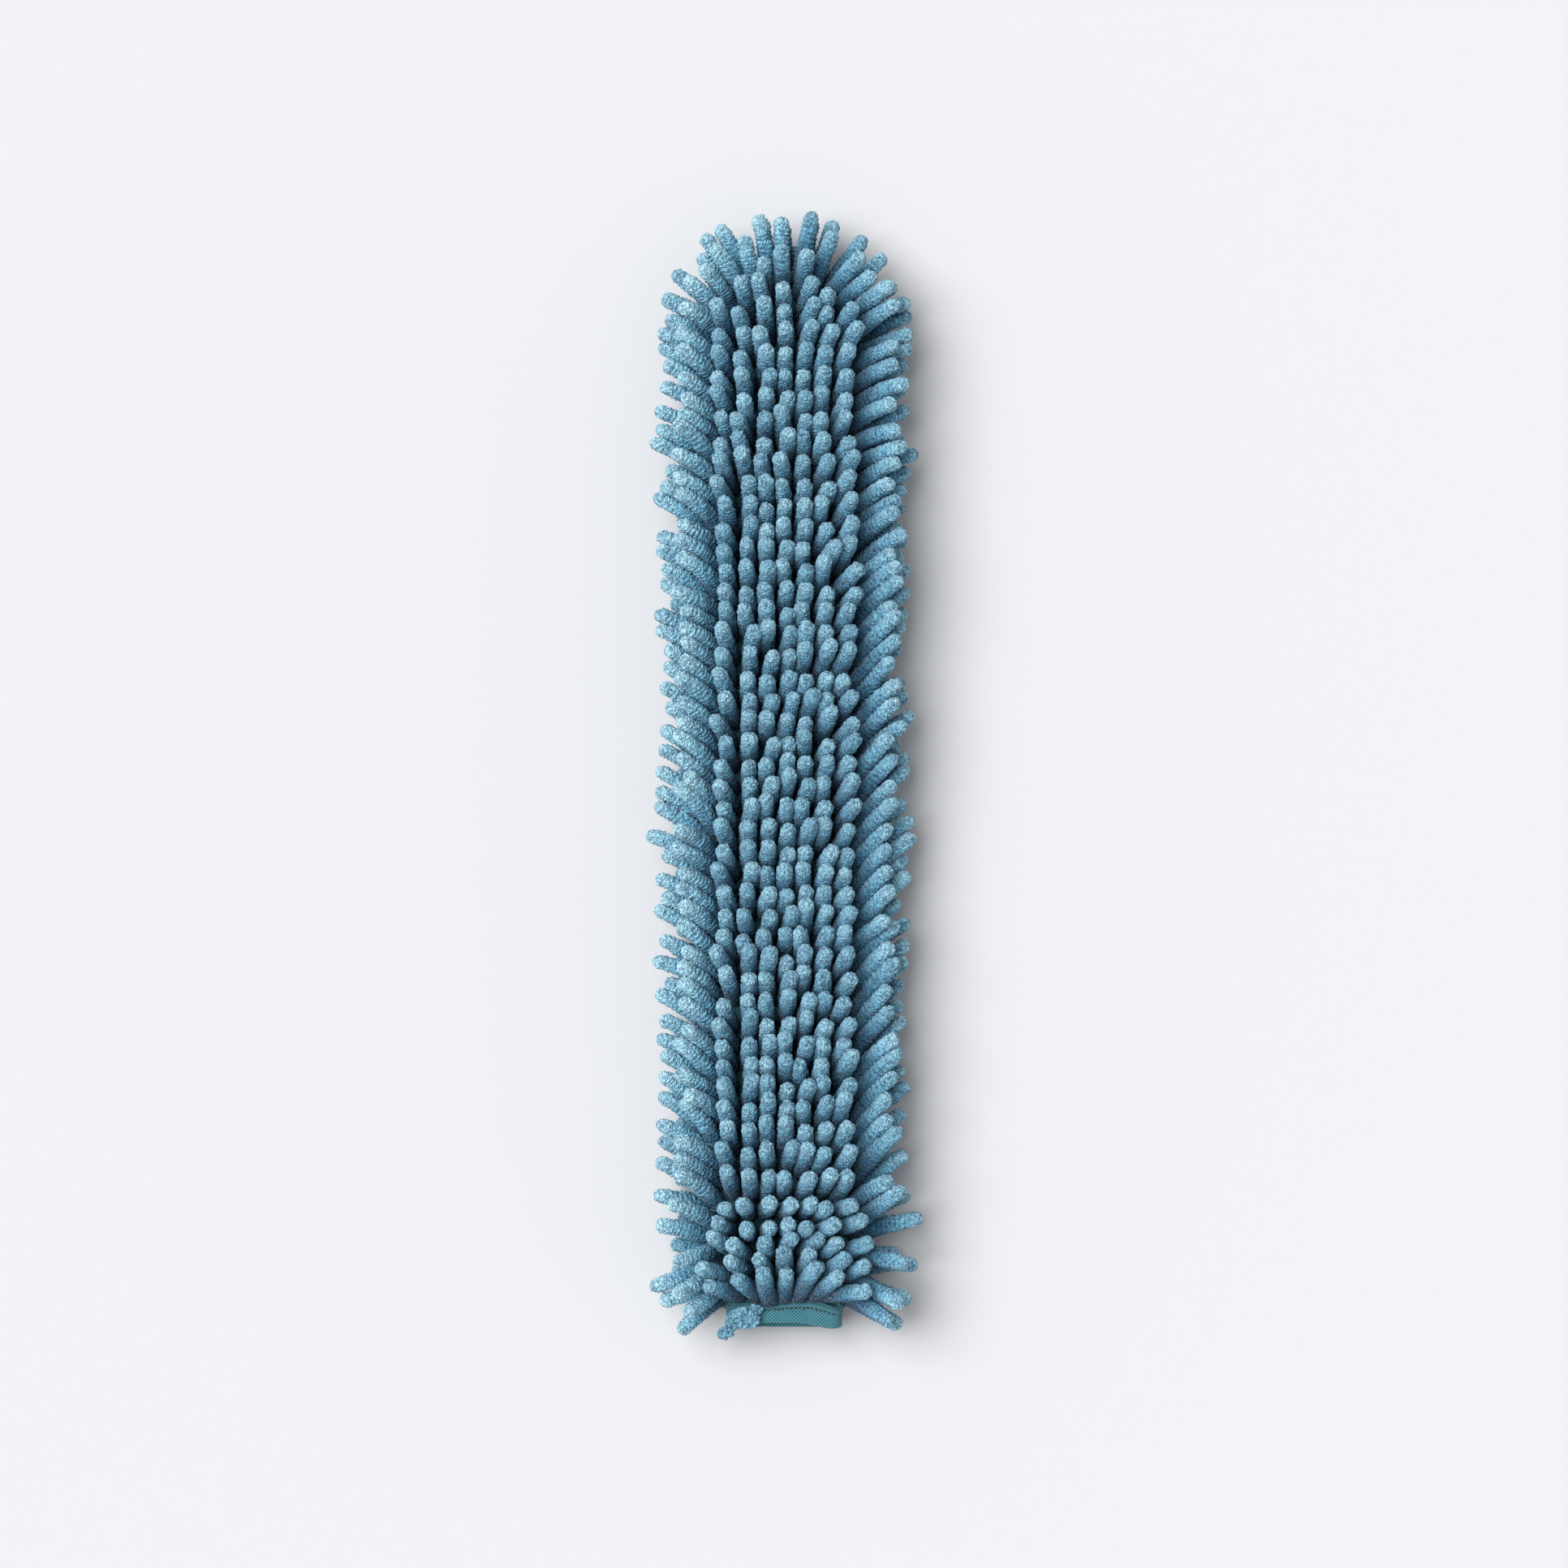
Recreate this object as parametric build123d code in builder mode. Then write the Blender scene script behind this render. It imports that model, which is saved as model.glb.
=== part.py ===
"""Chenille sleeve for a flat cleaning wand: backing panels, chenille yarns, cuff and threads.

Frame: +Y runs from the open mouth to the closed tip, +X is to the right when the front
pile is seen from above, +Z is up from the table that the back pile lies on. The origin is
the bottom centre of the whole sleeve. Millimetres.
"""

import os
from math import cos, radians, sin, sqrt

from build123d import *

os.makedirs("parts", exist_ok=True)

# Sleeve, the flattened tube of ground fabric
sleeve_width = 46.0
sleeve_height = 6.5
fabric_thickness = 0.9
shoulder_radius = 3.2
tip_y = 176.3
mouth_y = -187.0
seam_allowance = 3.0
allowance_thickness = 0.8
overlock_width = 1.2
overlock_height = 1.6

# Cuff, a knitted band folded double round the mouth
cuff_width = 41.5
cuff_length = 9.0
cuff_wall = 1.6
cuff_pocket_height = 4.9
cuff_arch_rise = 1.6
stitch_count = 22
stitch_pitch = 1.6
stitch_length = 1.1
stitch_width = 0.5
stitch_from_seam = 1.8

# Pile, one chenille yarn for each tufted column
row_pitch = 7.6
column_pitch = 6.1
columns_per_side = 7
first_row_y = -182.0
runner_width = 3.0
runner_height = 1.2
root_depth = 1.5

front_finger_diameter = 5.6
front_finger_length = 22.0
front_lean = 35.0
front_tip_lean = 62.0
front_fan = 18.0
tip_curl_length = 30.0

back_pile_height = 13.0
back_finger_diameter = 4.6
back_finger_length = 19.0
back_splay = 56.0

edge_finger_diameter = 5.2
edge_finger_length = 24.7
edge_sweep = 18.0
edge_mouth_sweep = -40.0
edge_turn_y = -158.0
edge_first_row_y = -184.0
edge_tip_fingers = 5

# Stray ends
frayed_end_diameter = 3.6
frayed_end_path = ((-9.5, -191.4), (-12.0, -193.6), (-15.5, -195.8))
loose_thread_diameter = 0.8
loose_thread_length = 9.0
loose_thread_rows = (-154.2, -131.4)

middle_z = back_pile_height + sleeve_height / 2
cuff_height = cuff_pocket_height + 2 * cuff_wall
cuff_front_z = middle_z + cuff_height / 2
front_z = back_pile_height + sleeve_height
back_z = back_pile_height
half_width = sleeve_width / 2
tip_centre_y = tip_y - half_width
middle_column = (columns_per_side + 1) / 2


def outline(inset, start_y):
    """The sleeve's plan: straight sides and a half-round tip, drawn inside by the inset."""
    half = half_width - inset
    with BuildSketch() as plan:
        with BuildLine():
            Polyline((-half, tip_centre_y), (-half, start_y), (half, start_y), (half, tip_centre_y))
            ThreePointArc((half, tip_centre_y), (0, tip_centre_y + half), (-half, tip_centre_y))
        make_face()
    return plan.sketch


def sleeve_block(inset, start_y):
    """The flattened sleeve as one solid with rounded shoulders, smaller all round by the inset."""
    height = sleeve_height - 2 * inset
    with BuildPart() as block:
        with BuildSketch(Plane.XY.offset(middle_z - height / 2)):
            add(outline(inset, start_y))
        extrude(amount=height)
        rims = block.faces().sort_by(Axis.Z)[0].edges() + block.faces().sort_by(Axis.Z)[-1].edges()
        fillet(rims.filter_by_position(Axis.Y, start_y + 1, tip_y), radius=shoulder_radius - inset)
    return block.part


outer_block = sleeve_block(0, mouth_y)
inner_block = sleeve_block(fabric_thickness, mouth_y - 1)


def backing_panel(side):
    """One ground fabric panel with its seam allowance turned inside. side is 1 front, -1 back."""
    inner_edge = fabric_thickness + seam_allowance
    with BuildPart() as panel:
        add(outer_block)
        add(inner_block, mode=Mode.SUBTRACT)
        with BuildSketch(Plane.XY.offset(middle_z)):
            add(outline(fabric_thickness / 2, mouth_y))
            add(outline(inner_edge, mouth_y - 1), mode=Mode.SUBTRACT)
        extrude(amount=side * allowance_thickness)
        split(bisect_by=Plane.XY.offset(middle_z), keep=Keep.TOP if side > 0 else Keep.BOTTOM)
    return panel.part


def finger(diameter, length):
    """A chenille finger standing on the origin: a round rod with a domed end."""
    radius = diameter / 2
    with BuildPart() as rod:
        with BuildSketch(Plane.XZ):
            with BuildLine():
                Polyline((0, length), (0, -root_depth), (radius, -root_depth), (radius, length - radius))
                RadiusArc((radius, length - radius), (0, length), -radius)
            make_face()
        revolve(axis=Axis.Z)
    return rod.part


front_finger = finger(front_finger_diameter, front_finger_length)
back_finger = finger(back_finger_diameter, back_finger_length)
edge_finger = finger(edge_finger_diameter, edge_finger_length)


def column_x(column):
    return (column - middle_column) * column_pitch


def column_rows(x):
    """The Y of every finger in a column, which ends short of the round tip."""
    last_y = tip_centre_y + sqrt((half_width - 3.0) ** 2 - x**2) - 2.0
    count = int((last_y - first_row_y) / row_pitch) + 1
    return [first_row_y + row * row_pitch for row in range(count)]


def front_direction(column, y, last_y):
    """The pile leans towards the tip, more so over the round tip itself, and fans out in X."""
    fan = radians(front_fan * (column - middle_column) / (middle_column - 1))
    curl = max(0.0, (y - last_y + tip_curl_length) / tip_curl_length)
    lean = front_lean + (front_tip_lean - front_lean) * curl
    return (sin(fan), cos(fan) * sin(radians(lean)), cos(fan) * cos(radians(lean)))


def back_direction(column):
    """The back pile is pressed flat: every finger reaches the table and the columns splay out."""
    drop = back_pile_height - back_finger_diameter / 2
    reach = back_finger_length - back_finger_diameter / 2
    across = sqrt(reach**2 - drop**2)
    splay = radians(back_splay * (column - middle_column) / (middle_column - 1))
    return (across * sin(splay), across * cos(splay), -drop)


def column_yarn(column, surface_z, side, rod, directions):
    """One tufted column: a runner along the fabric with a finger in every row."""
    x = column_x(column)
    rows = column_rows(x)
    length = rows[-1] - rows[0] + front_finger_diameter
    with BuildPart() as yarn:
        with Locations((x, (rows[0] + rows[-1]) / 2, surface_z + side * runner_height / 2)):
            Box(runner_width, length, runner_height)
        planes = [Plane((x, y, surface_z), z_dir=d) for y, d in zip(rows, directions)]
        with Locations(*planes):
            add(rod)
        add(outer_block, mode=Mode.SUBTRACT)
    return yarn.part


def edge_rows():
    """Root point, outward angle of each finger on the right edge, from the mouth round to the tip."""
    straight = int((tip_centre_y - edge_first_row_y) / row_pitch) + 1
    rows = []
    for row in range(straight):
        y = edge_first_row_y + row * row_pitch
        below = max(0.0, (edge_turn_y - y) / (edge_turn_y - edge_first_row_y))
        rows.append((half_width, y, edge_sweep + (edge_mouth_sweep - edge_sweep) * below))
    for step in range(edge_tip_fingers):
        turn = 90.0 * (step + 0.5) / edge_tip_fingers
        x = half_width * cos(radians(turn))
        y = tip_centre_y + half_width * sin(radians(turn))
        rows.append((x, y, max(edge_sweep, turn)))
    return rows


def edge_yarn():
    """The yarn on the right seam: it follows the edge of the fabric to the middle of the tip."""
    with BuildPart() as yarn:
        with BuildSketch(Plane.XY.offset(middle_z - runner_width / 2)):
            add(outline(-runner_height, mouth_y + 0.5))
            with Locations((-half_width, 0)):
                Rectangle(sleeve_width + 0.8, 3 * tip_y, mode=Mode.SUBTRACT)
        extrude(amount=runner_width)
        planes = [
            Plane((x, y, middle_z), z_dir=(cos(radians(turn)), sin(radians(turn)), 0))
            for x, y, turn in edge_rows()
        ]
        with Locations(*planes):
            add(edge_finger)
        add(outer_block, mode=Mode.SUBTRACT)
    return yarn.part


with BuildPart() as front_backing:
    add(backing_panel(1))
front_backing.part.label = "front_backing"
export_step(front_backing.part, "parts/front_backing.step")

with BuildPart() as back_backing:
    add(backing_panel(-1))
back_backing.part.label = "back_backing"
export_step(back_backing.part, "parts/back_backing.step")

# Overlock chain that closes the free edges of the two seam allowances inside the sleeve
with BuildPart() as seam_overlock:
    with BuildSketch(Plane.XY.offset(middle_z - overlock_height / 2)):
        add(outline(fabric_thickness + seam_allowance, mouth_y))
        add(
            outline(fabric_thickness + seam_allowance + overlock_width, mouth_y - 1),
            mode=Mode.SUBTRACT,
        )
    extrude(amount=overlock_height)
    fillet(seam_overlock.edges().filter_by(Plane.XY).group_by(Axis.Z)[-1], radius=0.3)
seam_overlock.part.label = "seam_overlock"
export_step(seam_overlock.part, "parts/seam_overlock.step")

# Cuff band, one loop folded double, its open edge rising a little in the middle
with BuildPart() as cuff_band:
    with BuildSketch(Plane.XZ.offset(-mouth_y)):
        with Locations((0, middle_z)):
            RectangleRounded(cuff_width, cuff_height, cuff_height / 2 - 0.2)
            RectangleRounded(
                cuff_width - 2 * cuff_wall,
                cuff_pocket_height,
                cuff_pocket_height / 2 - 0.1,
                mode=Mode.SUBTRACT,
            )
    extrude(amount=cuff_length)
    with BuildSketch(Plane.XY.offset(middle_z)):
        with BuildLine():
            left_end = (-cuff_width / 2, mouth_y - cuff_length)
            right_end = (cuff_width / 2, mouth_y - cuff_length)
            ThreePointArc(left_end, (0, mouth_y - cuff_length + cuff_arch_rise), right_end)
            Line(right_end, left_end)
        make_face()
    extrude(amount=cuff_height, mode=Mode.SUBTRACT)
cuff_band.part.label = "cuff_band"
export_step(cuff_band.part, "parts/cuff_band.step")

# Topstitching on both faces of the cuff, close to the seam
with BuildPart() as cuff_stitching:
    for stitch_z in (cuff_front_z, middle_z - cuff_height / 2 - stitch_width / 2):
        with BuildSketch(Plane.XY.offset(stitch_z)):
            with Locations((0, mouth_y - stitch_from_seam)):
                with GridLocations(stitch_pitch, 1, stitch_count, 1):
                    SlotOverall(stitch_length, stitch_width)
        extrude(amount=stitch_width / 2)
cuff_stitching.part.label = "cuff_stitching"
export_step(cuff_stitching.part, "parts/cuff_stitching.step")

# Frayed end of a cut chenille yarn lying on the cuff
with BuildPart() as frayed_yarn_end:
    frayed_z = cuff_front_z + frayed_end_diameter / 2
    with BuildLine():
        frayed_path = Spline([(x, y, frayed_z) for x, y in frayed_end_path])
    with BuildSketch(Plane(frayed_path @ 0, z_dir=frayed_path % 0)):
        Circle(frayed_end_diameter / 2)
    sweep()
    with Locations(frayed_path @ 0, frayed_path @ 1):
        Sphere(frayed_end_diameter / 2)
frayed_yarn_end.part.label = "frayed_yarn_end"
export_step(frayed_yarn_end.part, "parts/frayed_yarn_end.step")

# Two loose thread ends that stand out of the gap along the left seam
with BuildPart() as loose_threads:
    for thread_y in loose_thread_rows:
        foot = (-half_width + 1.2, thread_y, front_z - 0.2)
        with BuildSketch(Plane(foot, z_dir=(-0.75, 0.1, 0.65))):
            Circle(loose_thread_diameter / 2)
        extrude(amount=loose_thread_length)
    add(outer_block, mode=Mode.SUBTRACT)
loose_threads.part.label = "loose_threads"
export_step(loose_threads.part, "parts/loose_threads.step")

for column in range(1, columns_per_side + 1):
    rows = column_rows(column_x(column))

    front_directions = [front_direction(column, y, rows[-1]) for y in rows]
    with BuildPart() as front_yarn:
        add(column_yarn(column, front_z, 1, front_finger, front_directions))
    front_yarn.part.label = f"front_chenille_yarn_{column}"
    export_step(front_yarn.part, f"parts/front_chenille_yarn_{column}.step")

    back_directions = [back_direction(column) for y in rows]
    with BuildPart() as back_yarn:
        add(column_yarn(column, back_z, -1, back_finger, back_directions))
    back_yarn.part.label = f"back_chenille_yarn_{column}"
    export_step(back_yarn.part, f"parts/back_chenille_yarn_{column}.step")

with BuildPart() as right_edge_yarn:
    add(edge_yarn())
right_edge_yarn.part.label = "right_edge_yarn"
export_step(right_edge_yarn.part, "parts/right_edge_yarn.step")

with BuildPart() as left_edge_yarn:
    add(right_edge_yarn.part.mirror(Plane.YZ))
left_edge_yarn.part.label = "left_edge_yarn"
export_step(left_edge_yarn.part, "parts/left_edge_yarn.step")
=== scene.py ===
"""Looks of the chenille sleeve: curved fuzzy fingers, ground fabric, knitted cuff and threads.

Lengths here are millimetres, turned into metres when a mesh is made. +Y runs from the open
mouth to the closed tip, +X is right seen from above and +Z is up from the table.
"""

import math

import bmesh
import bpy
import numpy as np
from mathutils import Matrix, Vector


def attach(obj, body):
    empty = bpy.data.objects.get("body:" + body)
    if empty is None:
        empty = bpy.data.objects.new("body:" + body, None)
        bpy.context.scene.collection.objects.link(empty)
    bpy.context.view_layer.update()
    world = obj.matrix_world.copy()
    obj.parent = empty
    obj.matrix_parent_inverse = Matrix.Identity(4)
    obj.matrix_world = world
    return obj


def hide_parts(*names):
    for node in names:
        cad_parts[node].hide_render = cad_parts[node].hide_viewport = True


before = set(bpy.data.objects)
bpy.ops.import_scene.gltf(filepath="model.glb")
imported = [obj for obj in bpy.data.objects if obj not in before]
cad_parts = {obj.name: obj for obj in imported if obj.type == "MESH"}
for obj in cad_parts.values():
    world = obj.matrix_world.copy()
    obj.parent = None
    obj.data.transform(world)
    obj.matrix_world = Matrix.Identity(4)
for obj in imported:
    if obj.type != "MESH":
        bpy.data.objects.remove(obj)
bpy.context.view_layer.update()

MM = 0.001
rng = np.random.default_rng(27)

# Sleeve, as in the CAD model
HALF_WIDTH = 23.0
SHOULDER = 3.25
MIDDLE_Z = 16.25
FRONT_Z = MIDDLE_Z + SHOULDER
BACK_Z = MIDDLE_Z - SHOULDER
TIP_Y = 176.3
TIP_CENTRE_Y = TIP_Y - HALF_WIDTH
MOUTH_Y = -187.0
FABRIC = 0.9
ALLOWANCE = 3.0

# Pile
ROW_PITCH = 7.6
COLUMN_PITCH = 6.1
EDGE_PITCH = 7.3
FIRST_ROW_Y = -186.0
FINGER_RADIUS = 2.7
BODY_SWELL = 0.11
FINGER_LENGTH = 22.0
EDGE_FINGER_LENGTH = 26.2
FLOOR_CLEARANCE = 1.4
LINKS = 7
RINGS = 54
RING_POINTS = 28

# Front pile from the left column to the right one: sideways turn in degrees in each zone
LOWER_FAN = [-15, 1, 4, 6, 8, 12, 23]
UPPER_FAN = [-24, -9, -3, 2, 6, 12, 25]
TIP_FAN = [-38, -24, -11, 2, 13, 25, 40]
MOUTH_FAN = [-54, -36, -15, 4, 21, 42, 70]
# How much less its mouth rows lean, and how far its last root stands back from the cuff
MOUTH_EASE = [0.75, 0.4, 0.1, 0.0, 0.1, 0.45, 0.85]
MOUTH_SETBACK = [2.6, 1.6, 0.5, 0.5, 1.0, 2.4, 3.4]
# Back pile: sideways turn out from the middle, and lean towards the tip
BACK_OUTWARD = [82, 62, 30, 0, -30, -62, -82]
BACK_LEAN = [16, 36, 52, 58, 52, 36, 16]
# Painted light on each part of the pile, from 0 (painted shade) to 1: the left edge is painted lit, the
# front, back and right are painted darker
FRONT_PAINTED_LIGHT = 0.31
BACK_PAINTED_LIGHT = 0.55
LEFT_PAINTED_LIGHT = 1.0
RIGHT_PAINTED_LIGHT = 0.55

# Cuff
CUFF_HALF_WIDTH = 20.75
CUFF_HALF_HEIGHT = 4.05
CUFF_LENGTH = 9.0
CUFF_LAYER = 0.42
STITCH_DROP = 2.2


# Small helpers ---------------------------------------------------------------------------


def unit(vectors):
    """The same directions with length one."""
    return vectors / np.maximum(np.linalg.norm(vectors, axis=-1, keepdims=True), 1e-9)


def smooth(value, low, high):
    """0 below low, 1 above high, with an even blend between."""
    t = np.clip((value - low) / (high - low), 0.0, 1.0)
    return t * t * (3 - 2 * t)


def hashed(cells, seed):
    """A repeatable number from 0 to 1 for each cell of a 3-D grid."""
    n = cells[..., 0] * 73856093 ^ cells[..., 1] * 19349663 ^ cells[..., 2] * 83492791
    n = (n + seed * 2654435761) & 0xFFFFFFFF
    n = ((n ^ (n >> 15)) * 2246822519) & 0xFFFFFFFF
    n = ((n ^ (n >> 13)) * 3266489917) & 0xFFFFFFFF
    return (n ^ (n >> 16)) / 4294967296.0


def noise(points, size, seed):
    """Smooth value noise from -1 to 1 with features of about the given size."""
    scaled = points / size
    cell = np.floor(scaled).astype(np.int64)
    f = scaled - cell
    f = f * f * (3 - 2 * f)
    total = 0.0
    for dx in (0, 1):
        for dy in (0, 1):
            for dz in (0, 1):
                corner = hashed(cell + np.array([dx, dy, dz]), seed)
                wx = f[..., 0] if dx else 1 - f[..., 0]
                wy = f[..., 1] if dy else 1 - f[..., 1]
                wz = f[..., 2] if dz else 1 - f[..., 2]
                total = total + corner * wx * wy * wz
    return total * 2 - 1


def heading(fan, lean):
    """Unit vectors: fan turns from +Z towards +X and lean turns towards +Y, in degrees."""
    fan, lean = np.radians(fan), np.radians(lean)
    return np.stack([np.sin(fan) * np.cos(lean), np.sin(lean), np.cos(fan) * np.cos(lean)], axis=-1)


def new_object(name, verts, faces, material, attributes=()):
    """A smooth mesh object from points in millimetres, with per-point float attributes."""
    mesh = bpy.data.meshes.new(name)
    mesh.vertices.add(len(verts))
    mesh.vertices.foreach_set("co", (np.asarray(verts, float) * MM).astype(np.float32).ravel())
    faces = np.asarray(faces, np.int32)
    mesh.loops.add(faces.size)
    mesh.loops.foreach_set("vertex_index", faces.ravel())
    mesh.polygons.add(len(faces))
    mesh.polygons.foreach_set("loop_start", np.arange(0, faces.size, faces.shape[1], dtype=np.int32))
    mesh.polygons.foreach_set("use_smooth", np.full(len(faces), True))
    for label, values in attributes:
        layer = mesh.attributes.new(label, "FLOAT", "POINT")
        layer.data.foreach_set("value", np.asarray(values, np.float32).ravel())
    mesh.update(calc_edges=True)
    mesh.validate()
    mesh.materials.append(material)
    obj = bpy.data.objects.new(name, mesh)
    bpy.context.scene.collection.objects.link(obj)
    return obj


# Materials -------------------------------------------------------------------------------


class Nodes:
    """Short calls for building one material's node tree."""

    def __init__(self, name):
        self.material = bpy.data.materials.new(name)
        self.material.use_nodes = True
        self.tree = self.material.node_tree
        self.shader = self.tree.nodes["Principled BSDF"]

    def add(self, kind, **inputs):
        node = self.tree.nodes.new(kind)
        for key, value in inputs.items():
            self.put(node, key.replace("_", " "), value)
        return node

    def put(self, node, key, value):
        socket = node.inputs[key]
        if isinstance(value, bpy.types.NodeSocket):
            self.tree.links.new(value, socket)
        else:
            socket.default_value = value

    def position(self):
        return self.add("ShaderNodeTexCoord").outputs["Object"]

    def attribute(self, name):
        node = self.add("ShaderNodeAttribute")
        node.attribute_name = name
        return node.outputs["Fac"]

    def noise(self, scale, detail):
        node = self.add("ShaderNodeTexNoise", Vector=self.position(), Scale=scale, Detail=detail)
        return node.outputs["Fac"]

    def voronoi(self, scale):
        node = self.add("ShaderNodeTexVoronoi", Vector=self.position(), Scale=scale)
        return node.outputs["Distance"]

    def math(self, operation, a, b):
        node = self.add("ShaderNodeMath")
        node.operation = operation
        self.put(node, 0, a)
        self.put(node, 1, b)
        return node.outputs[0]

    def ramp(self, fac, stops):
        node = self.add("ShaderNodeValToRGB", Fac=fac)
        elements = node.color_ramp.elements
        while len(elements) < len(stops):
            elements.new(0.5)
        for element, (place, colour) in zip(elements, stops):
            element.position = place
            element.color = (*colour, 1.0)
        return node.outputs["Color"]

    def multiply(self, a, b):
        """Two colours multiplied."""
        node = self.add("ShaderNodeMix")
        node.data_type = "RGBA"
        node.blend_type = "MULTIPLY"
        self.put(node, 0, 1.0)
        self.put(node, 6, a)
        self.put(node, 7, b)
        return node.outputs[2]

    def bump(self, height, strength, distance):
        node = self.add("ShaderNodeBump", Strength=strength, Distance=distance, Height=height)
        self.put(self.shader, "Normal", node.outputs["Normal"])


def chenille_material():
    """Soft blue microfibre pile, saturated low down: painted shade darkens each finger towards its root and
    in its small creases and pits, painted light makes its tips paler, and each part of the pile is painted
    lighter or darker as a whole.
    """
    n = Nodes("chenille_blue")
    white = (1.0, 1.0, 1.0)
    # Painted shade in the small creases of the pile.
    crease = (0.32, 0.45, 0.53)
    creases = n.ramp(n.noise(700.0, 4.0), [(0.43, white), (0.475, crease), (0.505, crease), (0.55, white)])
    # Colour along each finger: painted shade at the buried root, the yarn's own blue in between, painted
    # light on the tip.
    root = (0.01, 0.07, 0.14)
    low = (0.06, 0.27, 0.43)
    high = (0.31, 0.70, 0.90)
    tip = (0.55, 0.87, 0.98)
    body = n.ramp(n.attribute("along"), [(0.1, root), (0.5, low), (0.76, high), (0.98, tip)])
    wide = n.ramp(n.noise(70.0, 2.0), [(0.3, (0.86, 0.89, 0.92)), (0.7, white)])
    # Painted light and shade: each part of the pile is painted lighter or darker by its tone level.
    shade = n.ramp(n.attribute("tone"), [(0.0, (0.42, 0.58, 0.66)), (1.0, white)])
    # Painted shade in the pits of the pile, where its relief is low.
    painted_pit_shade = n.ramp(n.attribute("depth"), [(0.1, (0.4, 0.48, 0.56)), (0.5, white)])
    colour = body
    for layer in (creases, wide, shade, painted_pit_shade):
        colour = n.multiply(colour, layer)
    n.put(n.shader, "Base Color", colour)
    n.put(n.shader, "Roughness", 0.9)
    n.put(n.shader, "Specular IOR Level", 0.15)
    n.put(n.shader, "Sheen Weight", 0.3)
    n.put(n.shader, "Sheen Roughness", 0.4)
    n.put(n.shader, "Sheen Tint", (0.8, 0.92, 1.0, 1.0))
    grain = n.math("ADD", n.noise(1500.0, 4.0), n.voronoi(1300.0))
    n.bump(grain, 1.0, 0.0012)
    return n.material


def knit_material(name, dark, light, pitch):
    """Fine warp knit: two sets of diagonal ribs, a pitch in mm apart, with dark cells between."""
    n = Nodes(name)
    ribs = []
    for turn in (-45.0, 45.0):
        turned = n.add("ShaderNodeMapping", Vector=n.position())
        turned.inputs["Rotation"].default_value = (0.0, 0.0, math.radians(turn))
        scale = math.pi / 10 / (pitch * MM)
        wave = n.add("ShaderNodeTexWave", Vector=turned.outputs[0], Scale=scale, Distortion=0.6)
        ribs.append(wave.outputs["Fac"])
    cell = n.math("MAXIMUM", ribs[0], ribs[1])
    colour = n.ramp(cell, [(0.35, dark), (0.85, light)])
    worn = n.ramp(n.noise(260.0, 3.0), [(0.3, (0.78, 0.82, 0.84)), (0.7, (1.0, 1.0, 1.0))])
    n.put(n.shader, "Base Color", n.multiply(colour, worn))
    n.put(n.shader, "Roughness", 0.85)
    n.put(n.shader, "Specular IOR Level", 0.3)
    n.put(n.shader, "Sheen Weight", 0.15)
    n.bump(cell, 0.8, 0.0004)
    return n.material


def thread_material(name, dark, light):
    """Spun thread with plies that wind round it."""
    n = Nodes(name)
    ply = n.add("ShaderNodeTexWave", Vector=n.position(), Scale=900.0, Distortion=2.5)
    ply.bands_direction = "DIAGONAL"
    n.put(n.shader, "Base Color", n.ramp(ply.outputs["Fac"], [(0.2, dark), (0.8, light)]))
    n.put(n.shader, "Roughness", 0.7)
    n.put(n.shader, "Sheen Weight", 0.2)
    n.bump(ply.outputs["Fac"], 0.6, 0.0002)
    return n.material


chenille = chenille_material()
backing_knit = knit_material("backing_knit", (0.004, 0.03, 0.04), (0.025, 0.115, 0.14), 1.1)
cuff_knit = knit_material("cuff_knit", (0.008, 0.07, 0.085), (0.065, 0.235, 0.285), 0.87)
teal_thread = thread_material("teal_thread", (0.03, 0.12, 0.14), (0.08, 0.28, 0.3))
dark_thread = thread_material("dark_thread", (0.003, 0.018, 0.024), (0.01, 0.05, 0.062))
pale_thread = thread_material("pale_thread", (0.45, 0.52, 0.55), (0.78, 0.83, 0.85))


# Where every finger starts and which way it wants to point -------------------------------


class Column:
    """One tufted yarn: its fingers' roots and lengths, and the way each points at root and tip."""

    def __init__(self, node, tone, roots, root_way, tip_way, lengths):
        self.node = node
        # tone is the level of painted light for this column's fingers.
        self.tone = tone
        self.roots = roots
        self.root_way = root_way
        self.tip_way = tip_way
        self.lengths = lengths


def face_rows(x):
    """Y of the fingers in a front or back column, which ends short of the round tip."""
    last = TIP_CENTRE_Y + math.sqrt((HALF_WIDTH - 3.0) ** 2 - x**2) - 1.0
    count = int((last - FIRST_ROW_Y) / ROW_PITCH) + 1
    return FIRST_ROW_Y + ROW_PITCH * np.arange(count)


def waver(y, size, seed):
    """A slow change along the sleeve, from -1 to 1."""
    spots = np.stack([np.zeros_like(y), y, np.zeros_like(y)], axis=-1)
    return noise(spots, size, seed)


def scattered(x, y, z):
    """Root points near the given places, a little uneven as in real tufting."""
    count = len(y)
    across = x + rng.normal(0, 0.4, count)
    along = y + rng.normal(0, 0.8, count)
    return np.stack([across, along, np.full(count, z)], axis=1)


def front_lean(y):
    """The pile lies towards the tip, stands straight up behind the last rows, then leans again."""
    places = [-186, -179, -171, -164, -156, -150, -141, -122, -95, 120, 150, 166, 176]
    degrees = [58, 42, 27, 14, 16, 38, 43, 43, 41, 40, 43, 54, 68]
    return np.interp(y, places, degrees)


def front_fan(index, y):
    """Sideways turn of a front column's fingers, which differs in the four zones of the sleeve."""
    lower = LOWER_FAN[index]
    fan = lower + (UPPER_FAN[index] - lower) * smooth(y, 60, 110)
    fan = fan + (TIP_FAN[index] - fan) * smooth(y, 135, 168)
    return fan + (MOUTH_FAN[index] - fan) * smooth(-y, 156, 186)


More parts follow.
